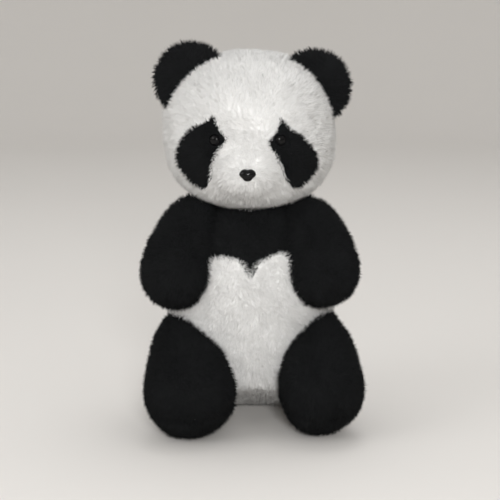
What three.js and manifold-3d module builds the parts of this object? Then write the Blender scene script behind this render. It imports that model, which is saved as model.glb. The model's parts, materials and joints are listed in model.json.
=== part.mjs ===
// A seated plush panda, made the way a soft toy is sewn: plush panels over stuffing, safety
// eyes and nose locked through the face, and a head, ears, arms and legs that bend at their seams.
// Millimetres, +Z up. The panda faces -Y, so its own left side is on +X.
import * as THREE from 'three';
import { mergeVertices } from 'three/addons/utils/BufferGeometryUtils.js';
import Module from 'manifold-3d';

const wasm = await Module();
wasm.setup();

// ---- driving dimensions ------------------------------------------------------------------

const plushThickness = 7; // backing cloth and pile together
const seamGap = 0.4; // between two panels that are sewn edge to edge
const stuffingGap = 0.5; // between a panel and the stuffing behind it
const bendGap = 1.5; // between pieces that move against each other
const fitGap = 0.35; // round a hard part that passes through cloth

const torso = {
  width: 150, depth: 124, height: 194, widestAt: 85, upPower: 2.9, downPower: 2.6,
  seatSink: 5, // how far the round bottom is pressed flat by the floor
  seatFront: 14, // the seat is flat on the floor behind this depth
  seatRise: 27, // degrees that the underside rises towards the front
  yokeDrop: 42, // from the top down to the lower edge of the black yoke
  seamDepth: 6, // where front and back panels meet
};

const neck = {
  radius: 27, // of the stuffed neck inside the head and torso openings
  threadRadius: 1, // of the gathering thread round it
  coneUp: 5, // degrees of free space under the head
  coneDown: 5, // degrees of free space over the shoulders
};

const head = {
  width: 151, depth: 136, up: 63, down: 75, upPower: 2, downPower: 3,
  neckSink: 5, // how far the form hangs below the neck before it is cut for it
  forward: 5, // of the torso's axis
  seamForward: 10, // where face and back of the head meet, in front of the head's middle
};

const muzzle = { width: 60, height: 44, depth: 52, below: 40, forward: 45 };
const faceOffset = -2; // the face is sewn a little to the panda's right

const eye = {
  diameter: 10, spacing: 57, below: 11, proud: 3.2, seatDepth: 3.6,
  shaftRadius: 1.6, shaftLength: 10, washerRadius: 6.5, washerThickness: 1.8,
  washerSetback: 2.4, // behind the cloth, which curves away from a flat washer
};

const nose = {
  width: 13, height: 9.5, below: 39, proud: 4.2, seatDepth: 3.4,
  shaftRadius: 1.8, shaftLength: 10, washerRadius: 7, washerThickness: 1.8, washerSetback: 3.4,
};

const buttonRim = 0.8; // straight edge under the dome of an eye or the nose
const patchProud = 1; // the eye patches stand over the face by this much

const ear = {
  radius: 34, thickness: 15, power: 2.4,
  forward: 15, // of the torso's axis
  reach: 63.5, // of its middle from the head's
  raise: { left: 29, right: 36 }, // degrees above level
  bendRadius: 66, // the bend line's distance from the head's middle
};

const arm = {
  radius: 31.5, depth: 58, pawLength: 36, shoulderLength: 70, upPower: 2.8, downPower: 2.2,
  rootRadius: 24, shoulderInset: 19, shoulderDrop: 32,
  shoulderSink: 1, // of the shoulder's middle behind the torso's front
  pawForward: 13, pawDown: 22, // from the shoulder's middle to the paw's
  pawOut: { left: 5, right: 7 },
};

const leg = {
  radius: { left: 38, right: 41 }, depth: 86, footLength: 38, hipLength: 92,
  upPower: 1.35, downPower: 2.2,
  rootRadius: 20, hipInset: 13, hipHeight: 72,
  hipSink: 1, // of the hip's middle behind the torso's front
  footHeight: 41, // of the foot's middle over the floor
  footForward: { left: 38, right: 44 }, // from the hip
  footOut: { left: -2, right: -8 },
};

// The angles, in degrees, at which each bending piece is kept clear of what carries it: arms and
// legs turn forwards and up from a little behind their seams, and ears fold both ways.
const armPress = [-10, 0, 20, 40, 60];
const legPress = [-10, 20];
const earPress = [-20, 20];

const closingSeam = { radius: 0.55, clearance: 0.35, from: 60, to: 112 }; // heights on the back

const farAway = 400; // past every surface of the toy
const degree = Math.PI / 180;
const sides = { left: 1, right: -1 };

// ---- materials ---------------------------------------------------------------------------

const finish = (name, color, roughness) =>
  Object.assign(new THREE.MeshStandardMaterial({ color, roughness, metalness: 0 }), { name });
const whitePlush = finish('white_plush', 0xe9e9e2, 0.95);
const blackPlush = finish('black_plush', 0x1b1c1e, 0.95);
const stuffing = finish('stuffing', 0xf3f1ea, 1.0);
const glossBlack = finish('gloss_black', 0x0a0a0b, 0.12);
const clearPlastic = finish('washer_plastic', 0xd9d9d2, 0.5);
const thread = finish('thread', 0xefeee8, 0.8);

// ---- solids from three.js shapes ---------------------------------------------------------

// A solid from a closed geometry: shared corners merged and collapsed triangles left out.
function solidFrom(geometry) {
  const bare = geometry.clone();
  bare.deleteAttribute('normal');
  bare.deleteAttribute('uv');
  const merged = mergeVertices(bare, 1e-4);
  const corners = merged.index.array;
  const kept = [];
  for (let i = 0; i < corners.length; i += 3) {
    const [a, b, c] = corners.slice(i, i + 3);
    if (a !== b && b !== c && c !== a) kept.push(a, b, c);
  }
  return new wasm.Manifold(new wasm.Mesh({
    numProp: 3,
    vertProperties: new Float32Array(merged.attributes.position.array),
    triVerts: new Uint32Array(kept),
  }));
}

function box(low, high) {
  const geometry = new THREE.BoxGeometry(high[0] - low[0], high[1] - low[1], high[2] - low[2]);
  geometry.translate((low[0] + high[0]) / 2, (low[1] + high[1]) / 2, (low[2] + high[2]) / 2);
  return solidFrom(geometry);
}

function ball(centre, radius) {
  const geometry = new THREE.SphereGeometry(radius, 12, 8);
  return solidFrom(geometry.translate(centre.x, centre.y, centre.z));
}

// A turned shape standing at a point with its axis along a direction.
function turned(profile, point, direction, segments = 16) {
  const geometry = new THREE.LatheGeometry(profile, segments);
  const up = new THREE.Vector3(0, 1, 0);
  geometry.applyQuaternion(new THREE.Quaternion().setFromUnitVectors(up, direction));
  return solidFrom(geometry.translate(point.x, point.y, point.z));
}

function rod(point, direction, from, to, radius, segments = 16) {
  const corners = [[0, from], [radius, from], [radius, to], [0, to]];
  return turned(corners.map(([r, y]) => new THREE.Vector2(r, y)), point, direction, segments);
}

// A shape drawn in depth (Y) and height (Z), extended right across the toy in X.
function acrossTheToy(outline) {
  const shape = new THREE.Shape(outline.map(([y, z]) => new THREE.Vector2(y, z)));
  const geometry = new THREE.ExtrudeGeometry(shape, { depth: 2 * farAway, bevelEnabled: false });
  const axes = [new THREE.Vector3(0, 1, 0), new THREE.Vector3(0, 0, 1), new THREE.Vector3(1, 0, 0)];
  geometry.applyMatrix4(new THREE.Matrix4().makeBasis(...axes));
  return solidFrom(geometry.translate(-farAway, 0, 0));
}

// ---- stuffed forms -----------------------------------------------------------------------

// A stuffed form is a lathe egg: a superellipse above its widest ring and another below it,
// pressed flatter in depth. `grow` moves the whole surface out, or in when it is negative.
function eggProfile(form, grow) {
  const profile = [];
  for (let ring = 0; ring <= form.rings; ring++) {
    const angle = (ring / form.rings - 0.5) * Math.PI;
    const power = angle > 0 ? form.upPower : form.downPower;
    const reach = (angle > 0 ? form.up : form.down) + grow;
    const width = form.halfWidth + grow;
    const rise = Math.abs(Math.sin(angle)) ** (2 / power);
    const spread = Math.abs(Math.cos(angle)) ** (2 / power);
    profile.push(new THREE.Vector2(width * spread, Math.sign(angle) * reach * rise));
  }
  return profile;
}

function formMatrix(form) {
  const up = form.axis.clone().normalize();
  const side = new THREE.Vector3(1, 0, 0).addScaledVector(up, -up.x).normalize();
  const depth = new THREE.Vector3().crossVectors(side, up);
  return new THREE.Matrix4().makeBasis(side, up, depth).setPosition(form.centre);
}

function egg(form, grow = 0) {
  const geometry = new THREE.LatheGeometry(eggProfile(form, grow), form.segments);
  geometry.scale(1, 1, (form.halfDepth + grow) / (form.halfWidth + grow));
  return solidFrom(geometry.applyMatrix4(formMatrix(form)));
}

// The front point of an upright form at a place across it and a height, and the way out there.
function frontOf(form, x, z) {
  const depthAt = (px, pz) => {
    const rise = pz - form.centre.z;
    const power = rise > 0 ? form.upPower : form.downPower;
    const reach = rise > 0 ? form.up : form.down;
    const spread = (1 - Math.abs(rise / reach) ** power) ** (1 / power);
    const across = (px - form.centre.x) / (form.halfWidth * spread);
    return form.centre.y - form.halfDepth * spread * Math.sqrt(1 - across * across);
  };
  const step = 0.5;
  const slopeX = (depthAt(x + step, z) - depthAt(x - step, z)) / (2 * step);
  const slopeZ = (depthAt(x, z + step) - depthAt(x, z - step)) / (2 * step);
  return {
    point: new THREE.Vector3(x, depthAt(x, z), z),
    outward: new THREE.Vector3(slopeX, -1, slopeZ).normalize(),
  };
}

// A solid turned by degrees about an axis through a point.
function turnedAbout(solid, pivot, axis, degrees) {
  const matrix = new THREE.Matrix4().makeTranslation(pivot.x, pivot.y, pivot.z)
    .multiply(new THREE.Matrix4().makeRotationAxis(axis, degrees * degree))
    .multiply(new THREE.Matrix4().makeTranslation(-pivot.x, -pivot.y, -pivot.z));
  return solid.transform(matrix.elements);
}

// What is left of a solid that turns about an axis when an obstacle has to stay clear of it.
function clearOfSwing(solid, obstacle, pivot, axis, angles) {
  return angles.reduce((left, angle) => left.subtract(turnedAbout(obstacle, pivot, axis, -angle)),
    solid);
}

// ---- where everything stands -------------------------------------------------------------

const upright = new THREE.Vector3(0, 0, 1);
const across = new THREE.Vector3(-1, 0, 0); // turning about it lifts what points forwards
const neckPoint = new THREE.Vector3(0, 0, torso.height + 1);

const torsoForm = {
  centre: new THREE.Vector3(0, 0, torso.widestAt), axis: upright,
  halfWidth: torso.width / 2, halfDepth: torso.depth / 2,
  up: torso.height - torso.widestAt, down: torso.widestAt + torso.seatSink,
  upPower: torso.upPower, downPower: torso.downPower, segments: 20, rings: 11,
};

const headForm = {
  centre: new THREE.Vector3(0, -head.forward, neckPoint.z - head.neckSink + head.down),
  axis: upright, halfWidth: head.width / 2, halfDepth: head.depth / 2, up: head.up,
  down: head.down, upPower: head.upPower, downPower: head.downPower, segments: 20, rings: 12,
};

const muzzleForm = {
  centre: new THREE.Vector3(faceOffset, headForm.centre.y - muzzle.forward,
    headForm.centre.z - muzzle.below),
  axis: upright, halfWidth: muzzle.width / 2, halfDepth: muzzle.depth / 2,
  up: muzzle.height / 2, down: muzzle.height / 2, upPower: 2, downPower: 2,
  segments: 14, rings: 8,
};

// A place on the torso's front, sunk a little behind it, that far in from its side.
function onTorso(side, inset, height, sink) {
  const x = side * (torso.width / 2 - inset);
  return frontOf(torsoForm, x, height).point.add(new THREE.Vector3(0, sink, 0));
}

function armOn(sideName) {
  const side = sides[sideName];
  const height = torso.height - arm.shoulderDrop;
  const pivot = onTorso(side, arm.shoulderInset, height, arm.shoulderSink);
  const paw = pivot.clone().add(new THREE.Vector3(
    side * arm.pawOut[sideName], -arm.pawForward, -arm.pawDown));
  return {
    side, pivot, rootRadius: arm.rootRadius, press: armPress,
    form: {
      centre: paw, axis: new THREE.Vector3().subVectors(pivot, paw), halfWidth: arm.radius,
      halfDepth: arm.depth / 2, up: arm.shoulderLength, down: arm.pawLength,
      upPower: arm.upPower, downPower: arm.downPower, segments: 12, rings: 8,
    },
  };
}

function legOn(sideName) {
  const side = sides[sideName];
  const pivot = onTorso(side, leg.hipInset, leg.hipHeight, leg.hipSink);
  const foot = new THREE.Vector3(pivot.x + side * leg.footOut[sideName],
    pivot.y - leg.footForward[sideName], leg.footHeight);
  return {
    side, pivot, rootRadius: leg.rootRadius, press: legPress,
    form: {
      centre: foot, axis: new THREE.Vector3().subVectors(pivot, foot),
      halfWidth: leg.radius[sideName],
      halfDepth: leg.depth / 2, up: leg.hipLength, down: leg.footLength,
      upPower: leg.upPower, downPower: leg.downPower, segments: 12, rings: 8,
    },
  };
}

const arms = { left: armOn('left'), right: armOn('right') };
const legs = { left: legOn('left'), right: legOn('right') };

// ---- shared clearances -------------------------------------------------------------------

// Head and shoulders meet at the neck point in two flat cones with free space between them, so
// the head can turn and nod there. Each cone's solid is all that lies past it, up or down.
function pastNeckCone(angle, direction) {
  const rim = farAway * Math.tan(angle * degree);
  const profile = [[0, 0], [farAway, -rim], [farAway, farAway], [0, farAway]];
  return turned(profile.map(([r, y]) => new THREE.Vector2(r, y)), neckPoint, direction, 20);
}

const aboveShoulders = pastNeckCone(neck.coneDown, upright);
const belowHead = pastNeckCone(neck.coneUp, upright.clone().negate());
const threadRing = neck.radius + fitGap + neck.threadRadius;
const neckOpening = ball(neckPoint, threadRing + neck.threadRadius + bendGap);

// Everything above the toy's underside raised by `lift`: flat on the floor at the back and
// rising towards the front.
function aboveUnderside(lift) {
  const rise = (farAway + torso.seatFront) * Math.tan(torso.seatRise * degree);
  return acrossTheToy([
    [-farAway, rise + lift], [torso.seatFront, lift], [farAway, lift],
    [farAway, 2 * farAway], [-farAway, 2 * farAway],
  ]);
}

// ---- scene graph -------------------------------------------------------------------------

const panda = new THREE.Group();

function bodyAt(parent, pivot) {
  const group = new THREE.Group();
  group.userData.place = pivot;
  group.position.subVectors(pivot, parent.userData.place);
  parent.add(group);
  return group;
}

// One named piece: the solid's triangles, kept in the frame of the body that carries it.
function addPiece(body, name, solid, material) {
  const place = body.userData.place;
  const { vertProperties, triVerts } = solid.translate([-place.x, -place.y, -place.z]).getMesh();
  const geometry = new THREE.BufferGeometry();
  geometry.setAttribute('position', new THREE.BufferAttribute(vertProperties, 3));
  geometry.setIndex(new THREE.BufferAttribute(triVerts, 1));
  geometry.computeVertexNormals();
  const mesh = new THREE.Mesh(geometry, material);
  mesh.name = name;
  body.add(mesh);
}

panda.userData.place = new THREE.Vector3();
const torsoBody = bodyAt(panda, new THREE.Vector3());
const neckBody = bodyAt(torsoBody, neckPoint);
const headBody = bodyAt(neckBody, neckPoint);

// ---- torso -------------------------------------------------------------------------------

const limbs = [arms.left, arms.right, legs.left, legs.right];

function withoutLimbRoots(solid, clearance) {
  return limbs.reduce((left, limb) => left.subtract(ball(limb.pivot, limb.rootRadius + clearance)),
    solid);
}

function torsoOuter() {
  return egg(torsoForm).intersect(aboveUnderside(0)).subtract(aboveShoulders).subtract(neckOpening);
}

// The thread that closes the back runs up the middle of the cloth, along the centre seam.
function closingThread(radius, overrun) {
  const points = [];
  const stops = 8;
  for (let i = 0; i <= stops; i++) {
    const span = closingSeam.to - closingSeam.from + 2 * overrun;
    const z = closingSeam.from - overrun + (span * i) / stops;
    const backSurface = 2 * torsoForm.centre.y - frontOf(torsoForm, 0, z).point.y;
    points.push(new THREE.Vector3(0, backSurface - plushThickness / 2, z));
  }
  const section = new THREE.Shape();
  section.absarc(0, 0, radius, 0, 2 * Math.PI);
  const path = new THREE.CatmullRomCurve3(points);
  return solidFrom(new THREE.ExtrudeGeometry(section,
    { steps: 10, curveSegments: 3, bevelEnabled: false, extrudePath: path }));
}

function addTorso() {
  const yokeEdge = torso.height - torso.yokeDrop;
  const cavity = egg(torsoForm, -plushThickness).intersect(aboveUnderside(plushThickness));
  const skin = withoutLimbRoots(torsoOuter().subtract(cavity), bendGap)
    .intersect(aboveUnderside(plushThickness + seamGap))
    .subtract(closingThread(closingSeam.radius + closingSeam.clearance, 1));
  const half = seamGap / 2;
  const panels = [
    ['chest', -farAway, torso.seamDepth - half, yokeEdge + half, farAway, blackPlush],
    ['belly', -farAway, torso.seamDepth - half, -farAway, yokeEdge - half, whitePlush],
    ['back_upper', torso.seamDepth + half, farAway, yokeEdge + half, farAway, blackPlush],
    ['back_lower', torso.seamDepth + half, farAway, -farAway, yokeEdge - half, whitePlush],
  ];
  for (const [name, front, back, bottom, top, material] of panels) {
    for (const [sideName, side] of Object.entries(sides)) {
      const inner = side * half;
      const outer = side * farAway;
      const corner = box([Math.min(inner, outer), front, bottom], [Math.max(inner, outer), back, top]);
      addPiece(torsoBody, `${name}_${sideName}`, skin.intersect(corner), material);
    }
  }
  const seat = withoutLimbRoots(torsoOuter().subtract(aboveUnderside(plushThickness)), bendGap);
  addPiece(torsoBody, 'seat_panel', seat, whitePlush);

  const inset = plushThickness + stuffingGap;
  const filling = egg(torsoForm, -inset).intersect(aboveUnderside(inset))
    .subtract(aboveShoulders).subtract(neckOpening);
  addPiece(torsoBody, 'torso_filling', withoutLimbRoots(filling, bendGap + stuffingGap), stuffing);
  addPiece(torsoBody, 'closing_seam_thread', closingThread(closingSeam.radius, 0), thread);
}

// ---- neck --------------------------------------------------------------------------------

function addNeck() {
  addPiece(neckBody, 'neck_filling', ball(neckPoint, neck.radius), stuffing);
  const profile = [];
  const corners = 6;
  for (let i = 0; i <= corners; i++) {
    const angle = (i / corners) * 2 * Math.PI;
    profile.push(new THREE.Vector2(threadRing + neck.threadRadius * Math.cos(angle),
      neck.threadRadius * Math.sin(angle)));
  }
  addPiece(neckBody, 'neck_thread', turned(profile, neckPoint, upright, 20), thread);
}

// ---- head --------------------------------------------------------------------------------

function headSolid(grow) {
  return egg(headForm, grow).add(egg(muzzleForm, grow));
}

// The plans of the eye patches, from the face's middle outwards and up from the head's middle.
const patchPlans = {
  left: [
    [28, 8], [33, 1], [47, -7], [54, -17], [61, -33], [56, -45], [43, -55], [33, -49], [29, -36],
    [24, -22], [19, -13], [25, -4],
  ],
  right: [
    [32, 8], [38, 5], [51, -5], [58, -16], [61, -32], [59, -42], [50, -51], [40, -54], [32, -46],
    [31, -30], [26, -19], [21, -12], [26, -3],
  ],
};

// A prism through the face on the patch's outline, moved out by `grow`.
function patchPrism(sideName, grow) {
  const side = sides[sideName];
  const curve = new THREE.CatmullRomCurve3(
    patchPlans[sideName].map(([x, z]) => new THREE.Vector3(x, z, 0)), true, 'centripetal');
  const outline = [];
  const count = 30;
  for (let i = 0; i < count; i++) {
    const place = curve.getPointAt(i / count);
    const along = curve.getTangentAt(i / count);
    outline.push(new THREE.Vector2(side * (place.x - along.y * grow), place.y + along.x * grow));
  }
  const geometry = new THREE.ExtrudeGeometry(new THREE.Shape(outline),
    { depth: farAway, bevelEnabled: false });
  geometry.rotateX(Math.PI / 2);
  return solidFrom(geometry.translate(faceOffset, headForm.centre.y, headForm.centre.z));
}

// A safety part sits in the pile on its flat back, with its shaft through the cloth.
function setInCloth(part, spot, seatRadius) {
  const past = farAway / 10;
  return {
    seat: rod(spot.point, spot.outward, -part.seatDepth - fitGap, past, seatRadius + fitGap),
    shaft: rod(spot.point, spot.outward, -past, past, part.shaftRadius + fitGap),
    washer: rod(spot.point, spot.outward, -plushThickness - part.shaftLength,
      -plushThickness + stuffingGap, part.washerRadius + 2 * fitGap),
  };
}

// A domed button with its shaft behind it: a short straight rim under a quarter ellipse, turned.
function domedButton(part, spot, halfWidth) {
  const base = -part.seatDepth;
  const profile = [[0, base - part.shaftLength], [part.shaftRadius, base - part.shaftLength],
    [part.shaftRadius, base], [halfWidth, base]].map(([r, y]) => new THREE.Vector2(r, y));
  const steps = 6;
  for (let i = 0; i <= steps; i++) {
    const angle = (i / steps) * (Math.PI / 2);
    profile.push(new THREE.Vector2(halfWidth * Math.cos(angle),
      base + buttonRim + (part.proud + part.seatDepth - buttonRim) * Math.sin(angle)));
  }
  return turned(profile, spot.point, spot.outward);
}

function washer(part, spot) {
  const near = -plushThickness - part.washerSetback;
  const far = near - part.washerThickness;
  const bore = part.shaftRadius + fitGap;
  const ring = [[bore, far], [part.washerRadius, far], [part.washerRadius, near], [bore, near],
    [bore, far]].map(([r, y]) => new THREE.Vector2(r, y));
  return turned(ring, spot.point, spot.outward);
}

const eyeSpots = {};
for (const [sideName, side] of Object.entries(sides)) {
  const z = headForm.centre.z - eye.below;
  eyeSpots[sideName] = frontOf(headForm, faceOffset + side * eye.spacing / 2, z);
}
const noseSpot = frontOf(muzzleForm, faceOffset, headForm.centre.z - nose.below);

function addHead() {
  const cavity = headSolid(-plushThickness);
  const shell = headSolid(0).subtract(cavity).subtract(belowHead).subtract(neckOpening);
  const fits = {
    left: setInCloth(eye, eyeSpots.left, eye.diameter / 2),
    right: setInCloth(eye, eyeSpots.right, eye.diameter / 2),
    nose: setInCloth(nose, noseSpot, nose.width / 2),
  };
  const half = seamGap / 2;
  const seam = headForm.centre.y - head.seamForward;
  for (const [sideName, side] of Object.entries(sides)) {
    const inner = Math.min(side * half, side * farAway);
    const outer = Math.max(side * half, side * farAway);
    const front = box([inner, -farAway, -farAway], [outer, seam - half, farAway]);
    const back = box([inner, seam + half, -farAway], [outer, farAway, farAway]);
    const face = shell.intersect(front).subtract(patchPrism(sideName, seamGap))
      .subtract(fits.nose.seat).subtract(fits.nose.shaft);
    addPiece(headBody, `face_${sideName}`, face, whitePlush);
    addPiece(headBody, `head_back_${sideName}`, shell.intersect(back), whitePlush);

    const patch = headSolid(patchProud).subtract(cavity).intersect(patchPrism(sideName, 0))
      .intersect(front).subtract(fits[sideName].seat).subtract(fits[sideName].shaft);
    addPiece(headBody, `eye_patch_${sideName}`, patch, blackPlush);
    const spot = eyeSpots[sideName];
    const button = domedButton(eye, spot, eye.diameter / 2);
    addPiece(headBody, `eye_${sideName}`, button, glossBlack);
    addPiece(headBody, `eye_washer_${sideName}`, washer(eye, spot), clearPlastic);
  }
  addPiece(headBody, 'nose', noseButton(), glossBlack);
  addPiece(headBody, 'nose_washer', washer(nose, noseSpot), clearPlastic);
  const filling = headSolid(-plushThickness - stuffingGap).subtract(belowHead)
    .subtract(neckOpening).subtract(fits.left.washer).subtract(fits.right.washer)
    .subtract(fits.nose.washer);
  addPiece(headBody, 'head_filling', filling, stuffing);
}

// The nose is wider than high, so the round button is trimmed above and below.
function noseButton() {
  const button = domedButton(nose, noseSpot, nose.width / 2);
  const tall = nose.height / 2;
  const z = noseSpot.point.z;
  return button.intersect(box([-farAway, -farAway, z - tall], [farAway, farAway, z + tall]));
}

// ---- ears --------------------------------------------------------------------------------

function addEar(sideName) {
  const side = sides[sideName];
  const raise = ear.raise[sideName] * degree;
  const outward = new THREE.Vector3(side * Math.cos(raise), 0, Math.sin(raise));
  const middle = new THREE.Vector3(0, -ear.forward, headForm.centre.z);
  const centre = middle.clone().addScaledVector(outward, ear.reach);
  const pivot = middle.clone().addScaledVector(outward, ear.bendRadius);
  const bendAxis = new THREE.Vector3(-outward.z, 0, outward.x).multiplyScalar(side);
  const form = {
    centre, axis: new THREE.Vector3(0, 1, 0), halfWidth: ear.radius, halfDepth: ear.radius,
    up: ear.thickness / 2, down: ear.thickness / 2, upPower: ear.power, downPower: ear.power,
    segments: 20, rings: 8,
  };
  const head = egg(headForm, bendGap);
  const whole = clearOfSwing(egg(form), head, pivot, bendAxis, earPress);
  const body = bodyAt(headBody, pivot);
  const half = seamGap / 2;
  const front = box([-farAway, -farAway, 0], [farAway, -ear.forward - half, farAway]);
  const back = box([-farAway, -ear.forward + half, 0], [farAway, farAway, farAway]);
  addPiece(body, `ear_front_${sideName}`, whole.intersect(front), blackPlush);
  addPiece(body, `ear_back_${sideName}`, whole.intersect(back), blackPlush);
}

// ---- arms and legs -----------------------------------------------------------------------

// A limb's form moved in or out by `grow`, kept clear of the torso through its whole swing.
// Its root is a ball about the pivot, sitting in a hollow of the torso.
function limbSolid(limb, grow) {
  const whole = egg(limb.form, grow);
  const torsoSpace = egg(torsoForm, bendGap - grow);
  const root = whole.intersect(ball(limb.pivot, limb.rootRadius + grow));
  const inner = limb.side * (bendGap / 2 - grow);
  const outer = limb.side * farAway;
  const ownSide = box([Math.min(inner, outer), -farAway, -grow],
    [Math.max(inner, outer), farAway, farAway]);
  return clearOfSwing(whole, torsoSpace, limb.pivot, across, limb.press).add(root)
    .intersect(ownSide).subtract(aboveShoulders);
}

// Front and back panels meet in the plane of the limb's own width.
function addLimb(name, sideName, limb, keepClear) {
  const body = bodyAt(torsoBody, limb.pivot);
  const clear = (solid, grow) => (keepClear ? solid.subtract(egg(keepClear, bendGap - grow)) : solid);
  const shell = clear(limbSolid(limb, 0), 0)
    .subtract(clear(limbSolid(limb, -plushThickness), -plushThickness));
  const matrix = formMatrix(limb.form).elements;
  const half = seamGap / 2;
  const front = box([-farAway, -farAway, half], [farAway, farAway, farAway]).transform(matrix);
  const back = box([-farAway, -farAway, -farAway], [farAway, farAway, -half]).transform(matrix);
  addPiece(body, `${name}_front_${sideName}`, shell.intersect(front), blackPlush);
  addPiece(body, `${name}_back_${sideName}`, shell.intersect(back), blackPlush);
  const inset = -plushThickness - stuffingGap;
  addPiece(body, `${name}_filling_${sideName}`, clear(limbSolid(limb, inset), inset), stuffing);
}

// ---- the toy -----------------------------------------------------------------------------

addTorso();
addNeck();
addHead();
for (const sideName of Object.keys(sides)) {
  addEar(sideName);
  addLimb('arm', sideName, arms[sideName]);
  addLimb('leg', sideName, legs[sideName], arms[sideName].form);
}

// The origin is under the middle of the whole toy, on the surface that it sits on.
panda.updateMatrixWorld(true);
const bounds = new THREE.Box3().setFromObject(panda);
panda.position.set(-(bounds.min.x + bounds.max.x) / 2, -(bounds.min.y + bounds.max.y) / 2, 0);

export default panda;
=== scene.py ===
# A seated plush panda: sewn panels of short pile over stuffing, with safety eyes and a nose.
# Metres, +Z up. The panda faces -Y, so its own left side is on +X.
import json
import math

import bpy
import numpy as np
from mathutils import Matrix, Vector


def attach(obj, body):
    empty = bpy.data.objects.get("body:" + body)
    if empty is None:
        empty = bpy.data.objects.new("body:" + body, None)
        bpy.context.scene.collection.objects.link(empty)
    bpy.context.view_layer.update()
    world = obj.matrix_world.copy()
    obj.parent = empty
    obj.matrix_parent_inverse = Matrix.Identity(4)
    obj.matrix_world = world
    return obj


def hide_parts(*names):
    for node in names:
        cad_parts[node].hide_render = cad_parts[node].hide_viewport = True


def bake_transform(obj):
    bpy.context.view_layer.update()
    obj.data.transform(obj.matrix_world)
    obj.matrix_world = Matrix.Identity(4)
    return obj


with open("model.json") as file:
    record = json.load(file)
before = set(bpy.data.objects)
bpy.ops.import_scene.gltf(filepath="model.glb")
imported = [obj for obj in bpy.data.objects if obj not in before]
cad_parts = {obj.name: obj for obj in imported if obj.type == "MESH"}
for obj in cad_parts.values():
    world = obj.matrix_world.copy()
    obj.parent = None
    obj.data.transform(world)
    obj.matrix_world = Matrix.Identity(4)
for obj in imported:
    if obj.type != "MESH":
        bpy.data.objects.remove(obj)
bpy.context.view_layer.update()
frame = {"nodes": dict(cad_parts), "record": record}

mm = 0.001
joints = {joint["name"]: joint for joint in frame["record"]["behaviour"]["joints"]}
sides = {"left": 1, "right": -1}
print("frame loaded")


# A joint's own point, in metres.
def jointPoint(name):
    return np.array(joints[name]["pos_m"])


neckPoint = jointPoint("head_turn")
floorDepth = neckPoint[1]  # the torso's own axis, in depth


# ---- camera

cameraSettings = {"distance": 1.2, "elevation": 10.0, "targetHeight": 0.149, "lens": 96.0}


# The camera looks at a point on the toy's axis, from in front and above by the elevation.
def addCamera():
    data = bpy.data.cameras.new("camera")
    data.lens = cameraSettings["lens"]
    data.sensor_width = 36.0
    camera = bpy.data.objects.new("camera", data)
    bpy.context.scene.collection.objects.link(camera)
    rise = math.radians(cameraSettings["elevation"])
    target = Vector((neckPoint[0], floorDepth, cameraSettings["targetHeight"]))
    back = Vector((0, -math.cos(rise), math.sin(rise)))
    camera.location = target + back * cameraSettings["distance"]
    camera.rotation_euler = (-back).to_track_quat("-Z", "Y").to_euler()
    bpy.context.scene.camera = camera


addCamera()


# ---- vector helpers on whole arrays

# Each vector over its own length.
def unit(vectors):
    lengths = np.linalg.norm(vectors, axis=-1, keepdims=True)
    return vectors / np.maximum(lengths, 1e-12)


# From 0 at low to 1 at high, as 3t^2 - 2t^3.
def smoothStep(value, low, high):
    t = np.clip((value - low) / (high - low), 0, 1)
    return t * t * (3 - 2 * t)


# A soft maximum: the larger of two values, with the corner between them rounded over `soft`.
def softMax(a, b, soft):
    return 0.5 * (a + b + np.sqrt((a - b) ** 2 + soft ** 2))


# Smooth unevenness between about -1 and 1: six plane waves of random direction added together.
def waves(points, wavelength, seed):
    rng = np.random.default_rng(seed)
    directions = unit(rng.normal(size=(6, 3)))
    phases = rng.uniform(0, 2 * math.pi, 6)
    stretch = rng.uniform(0.7, 1.5, 6)
    angles = points @ (directions * stretch[:, None]).T * (2 * math.pi / wavelength) + phases
    return np.sin(angles).sum(axis=1) / 3


stuffingLumps = {"smallWavelength": 1 / 4, "smallHeight": 0.35, "smallSeed": 500}


# Lumps of stuffing under the cloth: broad waves, and shorter and lower ones added to them.
def lumps(points, height, wavelength, seed):
    broad = waves(points, wavelength, seed)
    small = waves(points, wavelength * stuffingLumps["smallWavelength"],
                  seed + stuffingLumps["smallSeed"])
    return height * (broad + stuffingLumps["smallHeight"] * small)


# ---- stuffed forms

# A form's own three directions from its axis, with its reach and its powers up and down.
def makeForm(centre, axis, halfWidth, halfDepth, up, down, upPower, downPower):
    axis = unit(np.array(axis, float))
    side = np.array([1.0, 0.0, 0.0])
    side = unit(side - axis * axis[0])
    return {
        "centre": np.array(centre, float), "side": side, "up": axis,
        "front": np.cross(side, axis), "halfWidth": halfWidth, "halfDepth": halfDepth,
        "reachUp": up, "reachDown": down, "upPower": upPower, "downPower": downPower,
    }


# An egg: around is a turn from the front (-0.5 to 0.5), rise goes from the bottom (0) to the top
# (1). Its outline is one superellipse above the widest ring and another below it.
def eggPoints(form, around, rise, grow=0.0):
    turn = 2 * math.pi * around
    angle = (rise - 0.5) * math.pi
    power = np.where(angle > 0, form["upPower"], form["downPower"])
    reach = np.where(angle > 0, form["reachUp"], form["reachDown"]) + grow
    height = np.sign(angle) * reach * np.abs(np.sin(angle)) ** (2 / power)
    spread = np.abs(np.cos(angle)) ** (2 / power)
    across = (form["halfWidth"] + grow) * spread * np.sin(turn)
    ahead = (form["halfDepth"] + grow) * spread * np.cos(turn)
    return (form["centre"] + across[:, None] * form["side"] + ahead[:, None] * form["front"]
            + height[:, None] * form["up"])


# How far out each point lies of an egg grown by `grow`, by the same superellipse: below 1 is
# inside.
def eggLevel(form, points, grow=0.0):
    local = points - form["centre"]
    height = local @ form["up"]
    power = np.where(height > 0, form["upPower"], form["downPower"])
    reach = np.where(height > 0, form["reachUp"], form["reachDown"]) + grow
    level = np.sqrt((local @ form["side"] / (form["halfWidth"] + grow)) ** 2
                    + (local @ form["front"] / (form["halfDepth"] + grow)) ** 2)
    return (level ** power + np.abs(height / reach) ** power) ** (1 / power)


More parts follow.
